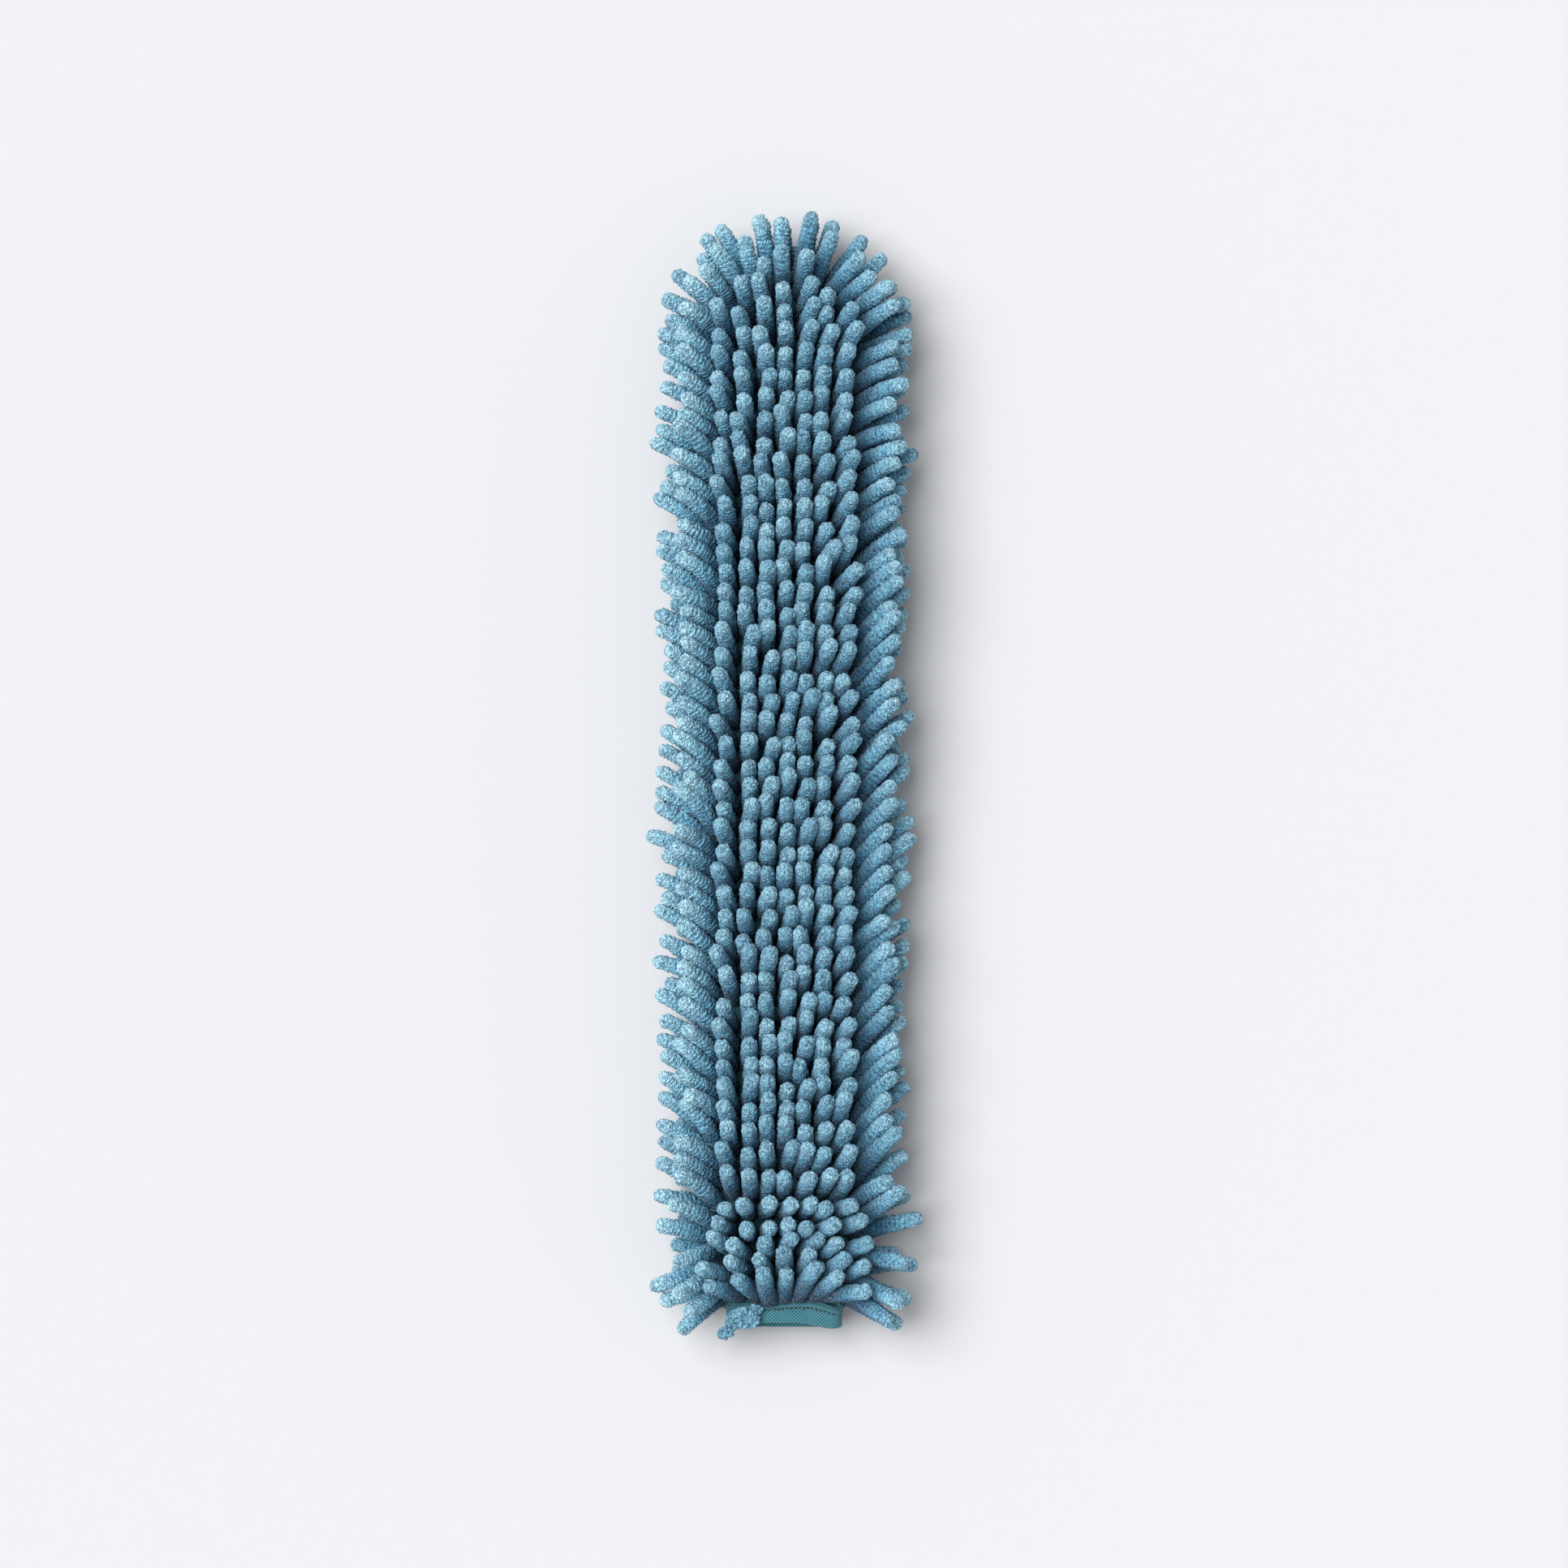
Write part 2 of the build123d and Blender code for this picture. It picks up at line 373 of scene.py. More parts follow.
def front_column(index):
    """Fingers of one column on top of the sleeve, counted from the left."""
    x = (index - 3) * COLUMN_PITCH
    y = face_rows(x)
    n = len(y)
    fan = front_fan(index, y) + rng.normal(0, 4.0, n) + 4.0 * waver(y, 40.0, index + 1)
    lean = front_lean(y) * (1 - MOUTH_EASE[index] * smooth(-y, 170, 186)) + rng.normal(0, 3.5, n)
    last_row = smooth(-y, 178, 186)
    x = x * (1 - 0.2 * last_row)
    y = y + last_row * MOUTH_SETBACK[index]
    parted = np.interp(y, [-182, -164, -157, -149, -141, -133], [0.0, 1.3, 1.8, -1.6, -0.6, 0.0])
    roots = scattered(x, y + parted, FRONT_Z)
    lengths = FINGER_LENGTH + rng.normal(0, 1.4, n)
    root_way = heading(0.6 * fan, 0.6 * lean)
    tip_way = heading(1.15 * fan, 1.1 * lean)
    return Column(f"front_chenille_yarn_{index + 1}", FRONT_PAINTED_LIGHT, roots, root_way, tip_way, lengths)


def back_column(index):
    """Fingers under the sleeve, pressed flat by its weight and splayed outwards from the middle."""
    x = (index - 3) * COLUMN_PITCH
    y = face_rows(x)
    n = len(y)
    fan = 180 + BACK_OUTWARD[index] + rng.normal(0, 6.0, n)
    lean = BACK_LEAN[index] * np.interp(y, [-184, -172, -160], [0.2, 0.5, 1.0]) + rng.normal(0, 7.0, n)
    roots = scattered(x, y, BACK_Z)
    lengths = FINGER_LENGTH + 1.0 + rng.normal(0, 1.2, n)
    flat_way = heading(fan, lean)
    root_way = unit(flat_way + np.array([0.0, 0.0, -0.45]))
    return Column(f"back_chenille_yarn_{index + 1}", BACK_PAINTED_LIGHT, roots, root_way, flat_way, lengths)


def edge_path(side, upper):
    """Plan places of one layer's roots along the seam, and how far each has turned round the tip."""
    start = FIRST_ROW_Y + (0.5 * EDGE_PITCH if upper else 0.0)
    straight = np.arange(start, TIP_CENTRE_Y, EDGE_PITCH)
    turns = np.arange(12.0, 91.0, 13.0) if upper else np.arange(6.0, 91.0, 12.0)
    if upper == (side > 0):
        turns = turns[:-1]
    bend = np.radians(turns)
    x = np.concatenate([np.full(len(straight), HALF_WIDTH), HALF_WIDTH * np.cos(bend)])
    y = np.concatenate([straight, TIP_CENTRE_Y + HALF_WIDTH * np.sin(bend)])
    return side * x, y, np.concatenate([np.zeros(len(straight)), turns])


def right_edge_shape(y, upper):
    """Lean, rise at the tip, rise at the root and extra length of the right seam's fingers."""
    lean = np.interp(y, [-186, -172, -158, -140, 60, 105, 150], [-31, -12, 20, 34, 36, 12, 12])
    places = [-186, -176, -150, -90, 60, 95, 160, 176]
    longer = np.interp(y, places, [-5, 0, 0, 2.5, 2.5, -2.5, -1.5, -2.5])
    return (lean, 18.0, 42.0, longer) if upper else (lean, 0.0, 12.0, longer)


def left_edge_shape(y, upper):
    """Lean, rise at the tip, rise at the root and extra length of the left seam's fingers."""
    lean = np.interp(y, [-186, -172, -158, -140, 150], [-30, -8, 12, 22, 14])
    longer = np.interp(y, [-186, -176, -160, 160, 176], [-8, -1, 0, 0, -2.5])
    return (lean, 2.0, 62.0, longer) if upper else (lean, -4.0, 25.0, longer)


def edge_layer(side, upper):
    """One of an edge yarn's two layers of fingers: they rise from the seam and arch outwards."""
    x, y, turn = edge_path(side, upper)
    n = len(y)
    in_tip = smooth(turn, 0, 40)
    shape = right_edge_shape if side > 0 else left_edge_shape
    along_side, rise, root_rise, longer = shape(y, upper)
    rise = rise * np.interp(y, [-186, -160], [0.5, 1.0])
    lean = along_side * (1 - in_tip) + turn * in_tip + rng.normal(0, 6.0, n)
    extra = 16.0 * (1 - in_tip) * smooth(y, -172, -150)
    fan = side * (90 - rise) + rng.normal(0, 11.0, n) + 7.0 * waver(y, 16.0, 60 + upper)
    roots = scattered(x, y, MIDDLE_Z + (2.0 if upper else -0.4))
    lengths = EDGE_FINGER_LENGTH + longer + rng.normal(0, 1.5, n)
    root_way = heading(side * (90 - root_rise), lean + extra)
    tip_way = heading(fan, lean - 0.5 * extra)
    return roots, root_way, tip_way, lengths


def edge_column(side):
    """The yarn along the left (-1) or right (1) seam, which follows the tip's half circle."""
    layers = [edge_layer(side, upper) for upper in (False, True)]
    name, tone = ("right_edge_yarn", RIGHT_PAINTED_LIGHT) if side > 0 else ("left_edge_yarn", LEFT_PAINTED_LIGHT)
    return Column(name, tone, *[np.concatenate(both) for both in zip(*layers)])


# Settling the pile: fingers are chains that push each other, the fabric and the table away --


def start_chains(columns):
    """Each finger as a chain of points that turns evenly from its root's way to its tip's."""
    roots = np.concatenate([c.roots for c in columns])
    root_way = np.concatenate([c.root_way for c in columns])
    tip_way = np.concatenate([c.tip_way for c in columns])
    lengths = np.concatenate([c.lengths for c in columns]) / (LINKS - 1)
    bow = rng.normal(0, 0.09, roots.shape)
    share = np.linspace(0.0, 1.0, LINKS - 1)[None, :, None]
    rest = unit(root_way[:, None] * (1 - share) + (tip_way + bow)[:, None] * share)
    steps = np.cumsum(rest * lengths[:, None, None], axis=1)
    chains = roots[:, None] + np.concatenate([np.zeros((len(roots), 1, 3)), steps], axis=1)
    return chains, rest, lengths


def push_apart(points, finger_of, radius, share):
    """Moves points of different fingers that are nearer than two radii away from each other."""
    order = np.argsort(points[:, 1])
    sorted_points = points[order]
    sorted_finger = finger_of[order]
    moved = np.zeros_like(points)
    reach = 2 * radius
    for offset in range(1, len(points)):
        gap = sorted_points[offset:] - sorted_points[:-offset]
        if gap[:, 1].min() > reach:
            break
        near = (np.abs(gap) < reach).all(axis=1) & (sorted_finger[offset:] != sorted_finger[:-offset])
        index = np.nonzero(near)[0]
        if not len(index):
            continue
        gap = gap[index]
        distance = np.linalg.norm(gap, axis=1)
        hit = distance < reach
        index, gap, distance = index[hit], gap[hit], distance[hit]
        step = gap / np.maximum(distance, 1e-6)[:, None] * ((reach - distance) * 0.5 * share)[:, None]
        np.add.at(moved, index, -step)
        np.add.at(moved, index + offset, step)
    result = points.copy()
    result[order] += moved
    return result


def out_of_sleeve(points, clearance):
    """Moves points that are inside the flattened sleeve, grown by the clearance, to its surface."""
    over = np.maximum(points[..., 1] - TIP_CENTRE_Y, 0.0)
    outward = np.stack([points[..., 0], over], axis=-1)
    plan = np.linalg.norm(outward, axis=-1)
    direction = outward / np.maximum(plan, 1e-6)[..., None]
    flat = HALF_WIDTH - SHOULDER
    side = np.maximum(plan - flat, 0.0)
    up = points[..., 2] - MIDDLE_Z
    far = np.hypot(side, up)
    need = SHOULDER + clearance
    inside = (far < need) & (points[..., 1] > MOUTH_Y - clearance)
    scale = np.where(inside, need / np.maximum(far, 1e-6), 1.0)
    pushed = points.copy()
    new_side = side * scale
    grow = np.where(plan > flat, flat + new_side, plan)
    pushed[..., 0] = direction[..., 0] * grow
    pushed[..., 1] = np.where(over > 0, TIP_CENTRE_Y + direction[..., 1] * grow, points[..., 1])
    pushed[..., 2] = MIDDLE_Z + up * scale
    return pushed


def settle(chains, rest, lengths, rounds):
    """Relaxes every finger at once: push apart, push out of the sleeve, then straighten a little."""
    count = len(chains)
    finger_of = np.repeat(np.arange(count), LINKS - 1)
    soft_radius = FINGER_RADIUS * 0.98
    sleeve_clearance = FINGER_RADIUS * 0.9
    floor_height = FINGER_RADIUS + FLOOR_CLEARANCE
    for turn in range(rounds):
        share = 0.9 if turn > rounds * 0.3 else 0.5
        free = push_apart(chains[:, 1:].reshape(-1, 3), finger_of, soft_radius, share)
        chains[:, 1:] = free.reshape(count, LINKS - 1, 3)
        chains[:, 2:] = out_of_sleeve(chains[:, 2:], sleeve_clearance)
        chains[:, 1:, 2] = np.maximum(chains[:, 1:, 2], floor_height)
        previous = rest[:, 0]
        for link in range(LINKS - 1):
            now = unit(chains[:, link + 1] - chains[:, link])
            wanted = unit(0.35 * previous + 0.65 * rest[:, link])
            hold = 0.30 if link == 0 else 0.06
            straighten = 0.10 * previous * (link > 0)
            now = unit((1 - hold) * now + hold * wanted + straighten)
            chains[:, link + 1] = chains[:, link] + now * lengths[:, None]
            previous = now
    return chains


# Turning a settled chain into a fuzzy finger ----------------------------------------------


def spline_points(chains, count):
    """Catmull-Rom points along each chain, evenly spread in the chain's own parameter."""
    before = 2 * chains[:, :1] - chains[:, 1:2]
    after = 2 * chains[:, -1:] - chains[:, -2:-1]
    padded = np.concatenate([before, chains, after], axis=1)
    t = np.linspace(0, LINKS - 1, count)
    start = np.minimum(t.astype(int), LINKS - 2)
    u = (t - start)[None, :, None]
    a, b, c, d = (padded[:, start + k] for k in range(4))
    return 0.5 * (2 * b + (c - a) * u + (2 * a - 5 * b + 4 * c - d) * u**2 + (3 * b - a - 3 * c + d) * u**3)


def frames(centres):
    """Tangents and two side directions along each centreline, turned as little as possible."""
    tangents = unit(np.gradient(centres, axis=1))
    helper = np.where(np.abs(tangents[:, :1, 2:3]) < 0.8, [[[0.0, 0.0, 1.0]]], [[[1.0, 0.0, 0.0]]])
    side = unit(np.cross(tangents[:, 0], helper[:, 0]))
    sides = []
    for ring in range(centres.shape[1]):
        along = tangents[:, ring]
        side = unit(side - (side * along).sum(axis=1, keepdims=True) * along)
        sides.append(side)
    sides = np.stack(sides, axis=1)
    return tangents, sides, np.cross(tangents, sides)


def ring_profile():
    """Distance along the finger (0 to 1) and radius share of every ring, domed at the end."""
    dome = FINGER_RADIUS / FINGER_LENGTH
    body = np.linspace(0.0, 1.0 - dome, RINGS - 9)
    cap = np.radians(np.linspace(0, 90, 10))[1:]
    place = np.concatenate([body, 1.0 - dome + dome * np.sin(cap)])
    share = np.concatenate([np.ones(len(body)), np.cos(cap)])
    share[-1] = 0.02
    share = share * (1 + BODY_SWELL * (1 - smooth(place, 0.4, 0.85)))
    root = np.clip(place / 0.05, 0, 1)
    return place, share * (0.72 + 0.28 * np.sqrt(root * (2 - root)))


def finger_relief(base, place, angle, twist, seed):
    """Height of the pile over the finger's smooth surface: lumps, grain, ribs and creases, in mm."""
    along = (place * FINGER_LENGTH)[None, :, None]
    lumps = noise(base, 4.2, seed)
    waves = noise(base, 1.7, seed + 1)
    grain = 2 * np.abs(noise(base, 1.25, seed + 2)) ** 0.6 - 1
    rib = np.sin(along * 2 * np.pi / 1.35 + angle + twist + 3.0 * lumps)
    rib = rib * (1 - 0.6 * smooth(place, 0.7, 0.95))[None, :, None]
    crease = np.sin(7 * angle + twist + 4.0 * waves) * smooth(place, 0.86, 0.97)[None, :, None]
    return 0.15 * lumps + 0.14 * waves + 0.28 * grain + 0.26 * rib + 0.12 * crease


def finger_mesh(chains, tone, seed):
    """Vertices and quads for a set of fingers, and the values that colour them."""
    place, share = ring_profile()
    count = len(chains)
    fine = spline_points(chains, 121)
    pick = place * 120
    low = np.minimum(pick.astype(int), 119)
    centres = fine[:, low] + (fine[:, low + 1] - fine[:, low]) * (pick - low)[None, :, None]
    tangents, side_a, side_b = frames(centres)
    angle = np.linspace(0, 2 * np.pi, RING_POINTS, endpoint=False)
    out = side_a[:, :, None] * np.cos(angle)[:, None] + side_b[:, :, None] * np.sin(angle)[:, None]
    girth = FINGER_RADIUS * (1 + rng.normal(0, 0.03, count))[:, None, None, None]
    twist = rng.uniform(0, 2 * np.pi, count)[:, None, None]
    base = centres[:, :, None] + out * girth * share[None, :, None, None]
    rise = finger_relief(base, place, angle[None, None], twist, seed)
    fade = np.minimum(1.0, share * 1.6)[None, :, None]
    bulge = out + tangents[:, :, None] * (place > 0.86)[None, :, None, None] * 0.6
    verts = base + bulge * (rise * fade)[..., None]
    # Place along each finger for the painted root shade and tip light; fingers painted with more light keep
    # their pale tips further down.
    pale = np.tile(np.repeat(place ** (1.25 - 0.65 * tone), RING_POINTS), count)
    # The column's painted light level, with a random tone for each finger.
    painted_light_tones = np.repeat(tone + rng.uniform(-0.25, 0.25, count), RINGS * RING_POINTS)
    # Low relief is stored as depth, which the material paints in shade.
    depth = np.clip(0.5 + 1.3 * rise, 0, 1).reshape(-1)
    shades = [("tone", painted_light_tones), ("depth", depth), ("along", pale)]
    return verts.reshape(-1, 3), quad_grid(count, RINGS, RING_POINTS), shades


def quad_grid(count, rings, around):
    """Quads that join neighbouring rings of every tube."""
    ring = np.arange(rings - 1)[:, None]
    point = np.arange(around)[None]
    a = ring * around + point
    b = ring * around + (point + 1) % around
    one = np.stack([a, b, b + around, a + around], axis=-1).reshape(-1, 4)
    shift = (np.arange(count) * rings * around)[:, None, None]
    return (one[None] + shift).reshape(-1, 4)


def tube_mesh(path, radius, around=10):
    """A closed round tube along a path, its ends drawn to a point."""
    path = np.asarray(path, float)[None]
    tangents, side_a, side_b = frames(path)
    angle = np.linspace(0, 2 * np.pi, around, endpoint=False)
    out = side_a[0][:, None] * np.cos(angle)[:, None] + side_b[0][:, None] * np.sin(angle)[:, None]
    radii = np.full(path.shape[1], radius)
    radii[0] = radii[-1] = radius * 0.05
    verts = path[0][:, None] + out * radii[:, None, None]
    return verts.reshape(-1, 3), quad_grid(1, path.shape[1], around)


def merged(parts):
    """Several (vertices, quads) sets as one."""
    verts, faces, start = [], [], 0
    for v, f in parts:
        verts.append(v)
        faces.append(f + start)
        start += len(v)
    return np.concatenate(verts), np.concatenate(faces)


def put(obj, node):
    """The piece stands for a CAD node and rides on the body."""
    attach(obj, "root")
    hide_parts(node)


columns = [front_column(index) for index in range(7)]
columns += [back_column(index) for index in range(7)]
columns += [edge_column(-1), edge_column(1)]
chains, rest, link_lengths = start_chains(columns)
chains = settle(chains, rest, link_lengths, 160)

first = 0
for number, column in enumerate(columns):
    last = first + len(column.roots)
    verts, quads, shades = finger_mesh(chains[first:last], column.tone, 10 * number)
    pile = new_object(column.node + "_pile", verts, quads, chenille, shades)
    put(pile, column.node)
    first = last


# Ground fabric ---------------------------------------------------------------------------


def fabric_profile(side):
    """Plan distance from the middle line and height across half a panel, out and back inside."""
    flat = HALF_WIDTH - SHOULDER
    arc = np.radians(np.linspace(90, 4, 10))
    reach = SHOULDER - FABRIC / 2
    out = np.concatenate([np.linspace(0, flat, 16)[:-1], flat + reach * np.cos(arc)])
    up = np.concatenate([np.full(15, reach), reach * np.sin(arc)])
    inner = np.linspace(out[-1] - 0.6, out[-1] - 0.6 - ALLOWANCE, 5)
    out = np.concatenate([out, inner])
    up = np.concatenate([up, np.full(5, 0.45)])
    return out, MIDDLE_Z + side * up


def panel_mesh(side):
    """A panel swept from the mouth up one edge, round the tip and back down the other edge."""
    out, height = fabric_profile(side)
    straight = np.linspace(MOUTH_Y, TIP_CENTRE_Y, 150)
    bend = np.radians(np.linspace(0, 180, 60))
    path = [(1.0, 0.0, y) for y in straight[:-1]]
    path += [(math.cos(a), math.sin(a), TIP_CENTRE_Y) for a in bend]
    path += [(-1.0, 0.0, y) for y in straight[::-1][1:]]
    path = np.array(path)
    verts = np.empty((len(path), len(out), 3))
    verts[..., 0] = path[:, :1] * out
    verts[..., 1] = path[:, 2:] + path[:, 1:2] * out
    ripple = 0.18 * noise(np.stack([verts[..., 0], verts[..., 1], 0 * verts[..., 0]], axis=-1), 14.0, 5)
    verts[..., 2] = height + ripple
    rows = np.arange(len(path) - 1)[:, None] * len(out)
    cols = np.arange(len(out) - 1)[None]
    a = rows + cols
    faces = np.stack([a, a + 1, a + 1 + len(out), a + len(out)], axis=-1).reshape(-1, 4)
    return verts.reshape(-1, 3), faces if side < 0 else faces[:, ::-1]


def tidy_cloth(obj, thickness):
    """Joins the points along the middle line and gives the cloth its thickness."""
    weld = obj.modifiers.new("weld", "WELD")
    weld.merge_threshold = 0.00002
    solid = obj.modifiers.new("thickness", "SOLIDIFY")
    solid.thickness = thickness * MM
    solid.offset = 0.0


for side, node in ((1, "front_backing"), (-1, "back_backing")):
    verts, faces = panel_mesh(side)
    panel = new_object(node + "_panel", verts, faces, backing_knit)
    tidy_cloth(panel, 0.75)
    put(panel, node)


# Threads and cuff ------------------------------------------------------------------------


def seam_path(inset, step):
    """Points along the inside of the seam, from the mouth round the tip and back."""
    half = HALF_WIDTH - inset
    straight = np.arange(MOUTH_Y + 0.5, TIP_CENTRE_Y, step)
    bend = np.arange(0, math.pi, step / half)
    points = [(half, y, 1.0, 0.0) for y in straight]
    for a in bend:
        points.append((half * math.cos(a), TIP_CENTRE_Y + half * math.sin(a), math.cos(a), math.sin(a)))
    points += [(-half, y, -1.0, 0.0) for y in straight[::-1]]
    return np.array(points)


def overlock_path():
    """A looping thread that wraps the two free edges of the seam allowances."""
    points = seam_path(FABRIC + ALLOWANCE + 0.4, 0.35)
    phase = np.arange(len(points)) * 2 * math.pi / 6
    wave = 0.45 * np.cos(phase)
    x = points[:, 0] + points[:, 2] * wave
    y = points[:, 1] + points[:, 3] * wave
    return np.stack([x, y, MIDDLE_Z + 0.72 * np.sin(phase)], axis=1)


verts, faces = tube_mesh(overlock_path(), 0.24, 6)
overlock = new_object("seam_overlock_thread", verts, faces, teal_thread)
put(overlock, "seam_overlock")


def cuff_loop(theta, half_width, half_height):
    """Point on the flattened loop of the cuff and its outward direction, for theta in radians."""
    flat = half_width - half_height
    length = 4 * flat + 2 * math.pi * half_height
    s = np.mod(theta / (2 * math.pi) * length + flat, length)
    x = np.where(s < 2 * flat, s - flat, 0.0)
    nx = np.zeros_like(s)
    nz = np.ones_like(s)
    turn = (s - 2 * flat) / half_height
    right = (s >= 2 * flat) & (turn < math.pi)
    x = np.where(right, flat, x)
    nx = np.where(right, np.sin(turn), nx)
    nz = np.where(right, np.cos(turn), nz)
    t = s - 2 * flat - math.pi * half_height
    bottom = (t >= 0) & (t < 2 * flat)
    x = np.where(bottom, flat - t, x)
    nz = np.where(bottom, -1.0, nz)
    turn = (t - 2 * flat) / half_height
    left = turn >= 0
    x = np.where(left, -flat, x)
    nx = np.where(left, -np.sin(turn), nx)
    nz = np.where(left, -np.cos(turn), nz)
    return x + nx * half_height, nz * half_height, nx, nz


def cuff_sag(x, share):
    """How far the front of the band shifts along Y: share is 0 at its seam and 1 at its fold."""
    seam = -1.0 * smooth(-x, -6.0, 8.0) - 2.8 * smooth(x, 9.0, 20.7)
    fold = 2.1 - 2.1 * smooth(x, 4.0, 18.5) + 1.6 * smooth(np.abs(x), 18.8, 20.75) ** 2
    return seam * (1 - share) + fold * share


def cuff_mesh():
    """The folded band: outer layer down to the fold, round it and back up inside."""
    around = 420
    theta = np.linspace(0, 2 * np.pi, around, endpoint=False)
    fold = np.radians(np.linspace(0, 180, 9))[1:-1]
    drop = np.linspace(0.9, -CUFF_LENGTH + CUFF_LAYER, 48)
    depth = np.concatenate([drop, -CUFF_LENGTH + CUFF_LAYER - CUFF_LAYER * np.sin(fold), drop[::-1]])
    hump = 0.6 * np.exp(-(((drop + 0.9) / 0.6) ** 2)) - 0.25 * np.exp(-(((drop + 2.2) / 0.45) ** 2))
    outer = 0.35 + 0.5 * smooth(drop, -0.4, 0.8) - hump
    inner = np.full(48, 0.35 + 2 * CUFF_LAYER)
    inset = np.concatenate([outer, 0.35 + CUFF_LAYER * (1 - np.cos(fold)), inner])
    x, z, nx, nz = cuff_loop(theta, CUFF_HALF_WIDTH, CUFF_HALF_HEIGHT)
    front = smooth(z, -1.0, 2.5)
    share = np.clip(-depth / CUFF_LENGTH, 0, 1)[:, None]
    verts = np.empty((len(depth), around, 3))
    verts[..., 0] = x - nx * inset[:, None]
    verts[..., 1] = MOUTH_Y + depth[:, None] + front * cuff_sag(x, share)
    verts[..., 2] = MIDDLE_Z + z - nz * inset[:, None]
    verts += 0.05 * noise(verts, 1.1, 41)[..., None]
    rows = np.arange(len(depth) - 1)[:, None] * around
    cols = np.arange(around)[None]
    nxt = (cols + 1) % around
    faces = np.stack([rows + cols, rows + around + cols, rows + around + nxt, rows + nxt], axis=-1)
    return verts.reshape(-1, 3), faces.reshape(-1, 4)


verts, faces = cuff_mesh()
cuff = new_object("cuff_band_knit", verts, faces, cuff_knit)
solid = cuff.modifiers.new("thickness", "SOLIDIFY")
solid.thickness = 0.6 * MM
solid.offset = 0.0
put(cuff, "cuff_band")


def stitches():
    """Short slanted stitches on both faces of the cuff, just below its ridge."""
    parts = []
    t = np.linspace(-1, 1, 7)
    for up in (1, -1):
        for place in np.arange(-18.5, 18.6, 1.5):
            x = place + rng.normal(0, 0.08)
            sag = cuff_sag(np.array(x), STITCH_DROP / CUFF_LENGTH) if up > 0 else 0.0
            y = MOUTH_Y - STITCH_DROP + sag + rng.normal(0, 0.08) + rng.normal(0.38, 0.08) * t
            flank = max(abs(x) - (CUFF_HALF_WIDTH - CUFF_HALF_HEIGHT), 0.0)
            top = math.sqrt(CUFF_HALF_HEIGHT**2 - flank**2)
            z = MIDDLE_Z + up * (top - 0.02 - 0.18 * t**2)
            parts.append(tube_mesh(np.stack([x + 0.5 * t, y, z], axis=1), 0.34, 8))
    return merged(parts)


verts, faces = stitches()
stitching = new_object("cuff_topstitching", verts, faces, dark_thread)
put(stitching, "cuff_stitching")


def loose_thread(start, end, sag):
    t = np.linspace(0, 1, 24)[:, None]
    line = np.array(start) * (1 - t) + np.array(end) * t
    line[:, 2] += sag * np.sin(np.pi * t[:, 0])
    line += 0.35 * np.stack([noise(line, 3.0, seed) for seed in (1, 2, 3)], axis=1)
    return tube_mesh(line, 0.12, 6)


verts, faces = merged([
    loose_thread((-22.0, -154.2, 19.2), (-27.5, -153.0, 25.5), 1.2),
    loose_thread((-22.0, -156.0, 19.2), (-26.0, -158.5, 26.0), 0.8),
    loose_thread((-22.0, -131.4, 19.2), (-28.0, -130.0, 25.0), 1.5),
])
threads = new_object("loose_thread_ends", verts, faces, pale_thread)
put(threads, "loose_threads")


def frayed_end():
    """A cut chenille end: a few short crumbly lobes that spill over the cuff's left end."""
    lobes = [
        ((-9.6, -188.6, 21.8), (-11.2, -189.2, 23.0), 1.9),
        ((-10.4, -191.2, 22.2), (-11.8, -191.8, 22.8), 2.0),
        ((-10.8, -193.6, 21.4), (-12.6, -194.4, 21.4), 1.9),
        ((-13.2, -189.4, 22.6), (-15.0, -190.2, 22.8), 2.0),
        ((-14.0, -192.2, 22.0), (-15.8, -193.4, 21.6), 2.0),
        ((-17.0, -190.8, 21.0), (-18.8, -191.8, 20.6), 1.9),
        ((-17.2, -194.4, 20.2), (-19.4, -195.2, 19.4), 1.9),
        ((-19.6, -196.8, 18.4), (-22.0, -198.4, 17.2), 2.2),
    ]
    parts, depths = [], []
    for number, (start, end, radius) in enumerate(lobes):
        ball = bmesh.new()
        bmesh.ops.create_icosphere(ball, subdivisions=5, radius=1.0)
        points = np.array([v.co for v in ball.verts])
        faces = np.array([[v.index for v in f.verts] for f in ball.faces])
        ball.free()
        axis = np.array(end) - np.array(start)
        centre = (np.array(start) + np.array(end)) / 2
        verts = centre + points * radius + 0.5 * (points @ unit(axis))[:, None] * axis
        crumb = 0.7 * noise(verts, 1.7, 88 + number) + 0.6 * noise(verts, 0.8, 99 + number)
        parts.append((verts + points * crumb[:, None], faces))
        # Hollows of the crumbly lobes are painted in shade through the same depth value.
        depths.append(np.clip(0.5 + 0.8 * crumb, 0, 1))
    verts, faces = merged(parts)
    flat = np.ones(len(verts))
    # The fray is painted dark by a low painted light level, with the pale painted tip colour all over.
    shades = [("tone", 0.15 * flat), ("depth", np.concatenate(depths)), ("along", 0.9 * flat)]
    return verts, faces, shades


verts, faces, shades = frayed_end()
fray = new_object("frayed_yarn_end_tuft", verts, faces, chenille, shades)
put(fray, "frayed_yarn_end")


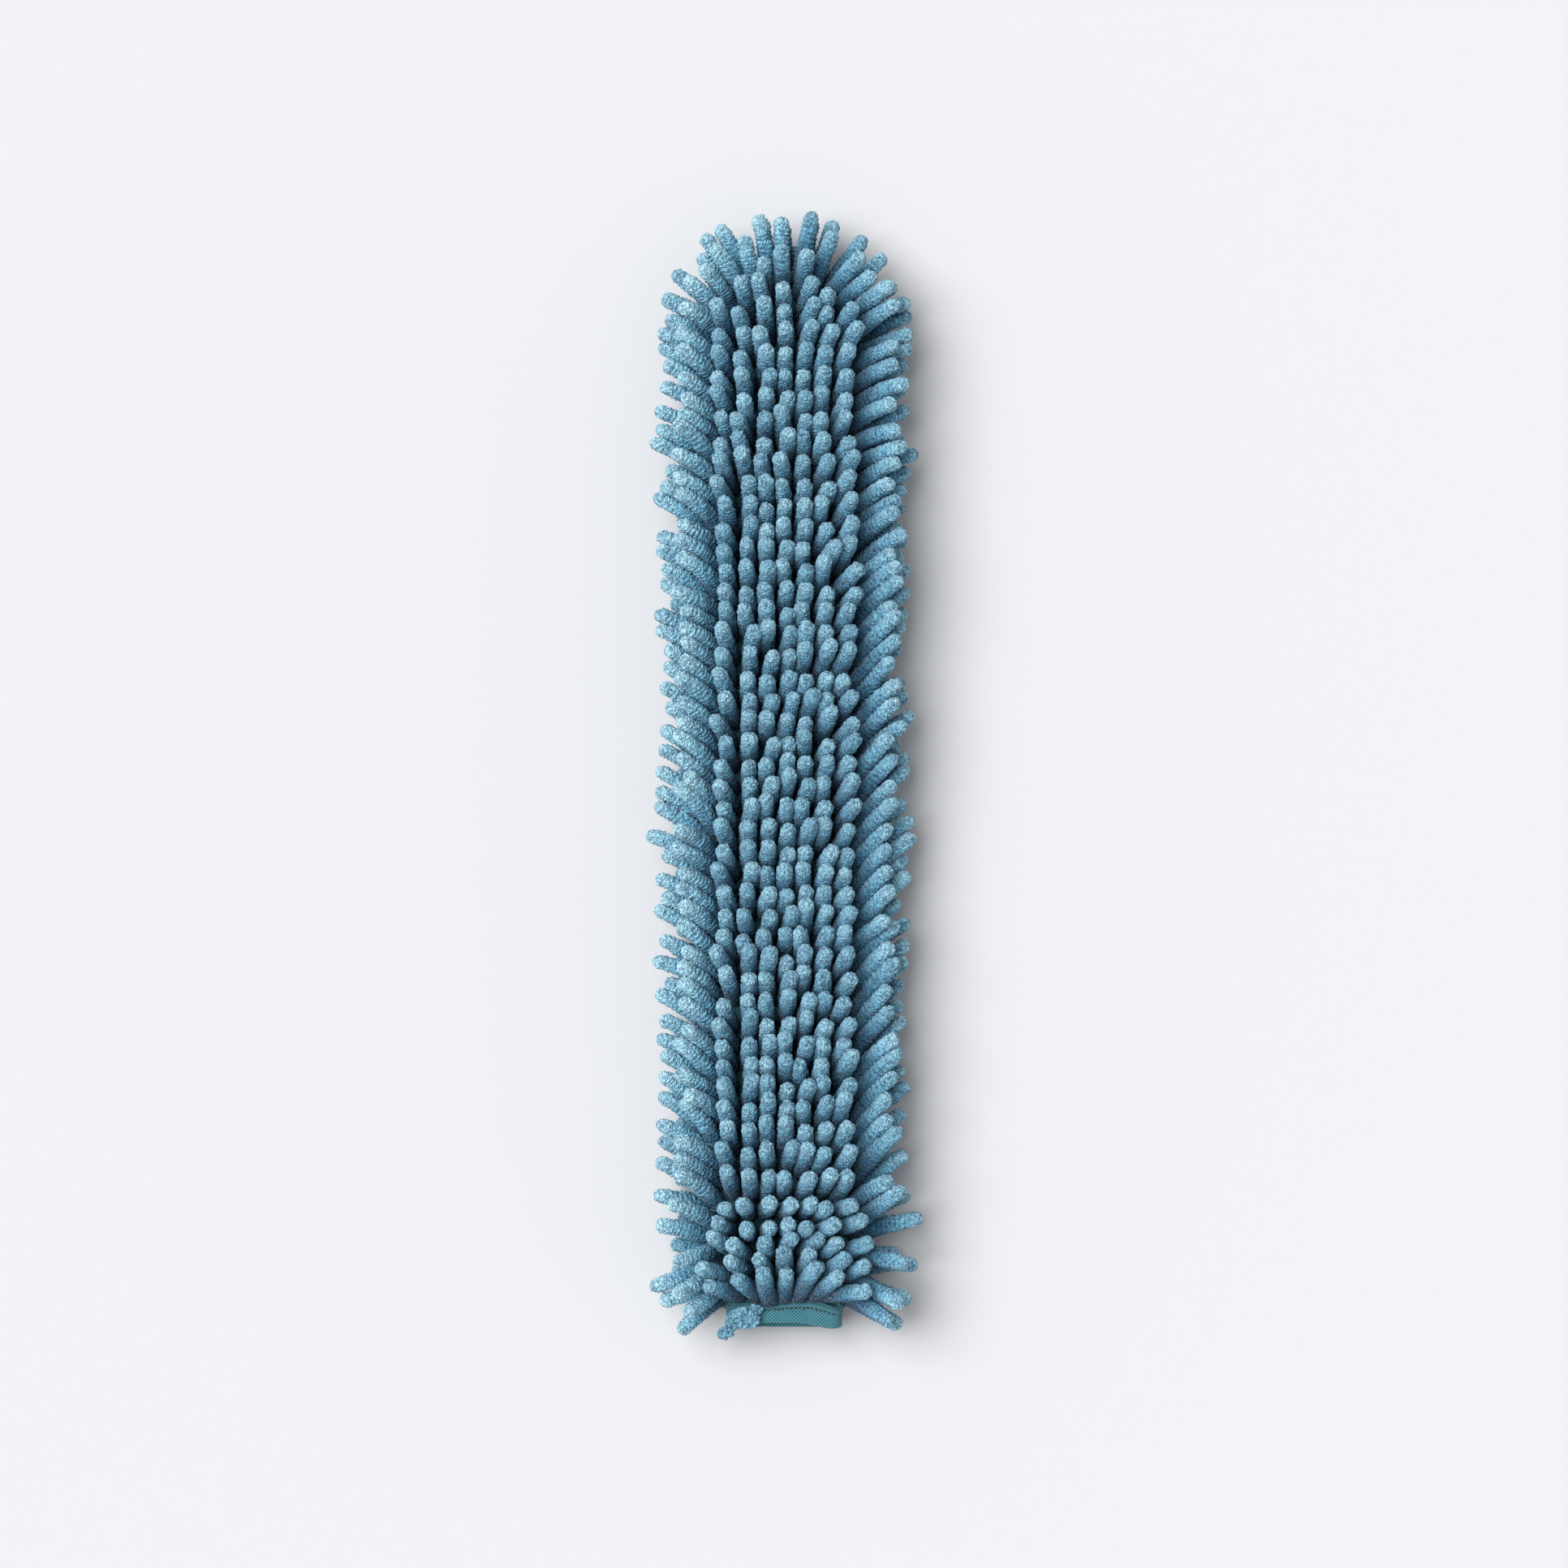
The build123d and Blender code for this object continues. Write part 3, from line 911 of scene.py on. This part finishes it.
# Stage, light and camera -----------------------------------------------------------------


def floor():
    """A wide pale floor that rises into a low backdrop all round, worked out in metres."""
    count = 81
    line = np.linspace(-6.0, 6.0, count)
    x, y = np.meshgrid(line, line)
    verts = np.stack([x, y, 2.6 * smooth(np.hypot(x, y), 2.0, 6.0)], axis=-1).reshape(-1, 3)
    corner = (np.arange(count - 1)[:, None] * count + np.arange(count - 1)).reshape(-1)
    faces = np.stack([corner, corner + 1, corner + 1 + count, corner + count], axis=-1)
    material = bpy.data.materials.new("pale_floor")
    material.use_nodes = True
    shader = material.node_tree.nodes["Principled BSDF"]
    shader.inputs["Base Color"].default_value = (0.535, 0.54, 0.555, 1.0)
    shader.inputs["Roughness"].default_value = 1.0
    shader.inputs["Specular IOR Level"].default_value = 0.0
    new_object("floor", verts / MM, faces, material)


def soft_sun(name, toward, strength, spread):
    """An even light from far away, as wide as a big softbox, so the floor stays one tone."""
    lamp = bpy.data.lights.new(name, "SUN")
    lamp.energy = strength
    lamp.angle = math.radians(spread)
    obj = bpy.data.objects.new(name, lamp)
    obj.rotation_euler = Vector(toward).to_track_quat("Z", "Y").to_euler()
    bpy.context.scene.collection.objects.link(obj)


floor()
soft_sun("key", (-0.53, 0.26, 1.0), 4.3, 50.0)

world = bpy.data.worlds.new("studio")
world.use_nodes = True
world.node_tree.nodes["Background"].inputs["Color"].default_value = (1.0, 1.0, 1.0, 1.0)
world.node_tree.nodes["Background"].inputs["Strength"].default_value = 0.44
bpy.context.scene.world = world
bpy.context.scene.view_settings.view_transform = "Standard"

# The camera looks straight down and sees 560 mm across at the height of the sleeve's middle
camera_height = 1.7
middle_height = 0.016
frame_width = 0.5603
camera_data = bpy.data.cameras.new("camera")
camera_data.sensor_width = 36.0
camera_data.lens = camera_data.sensor_width * (camera_height - middle_height) / frame_width
camera_data.clip_start = 0.05
camera = bpy.data.objects.new("camera", camera_data)
camera.location = (0.0, -0.002, camera_height)
bpy.context.scene.collection.objects.link(camera)
bpy.context.scene.camera = camera
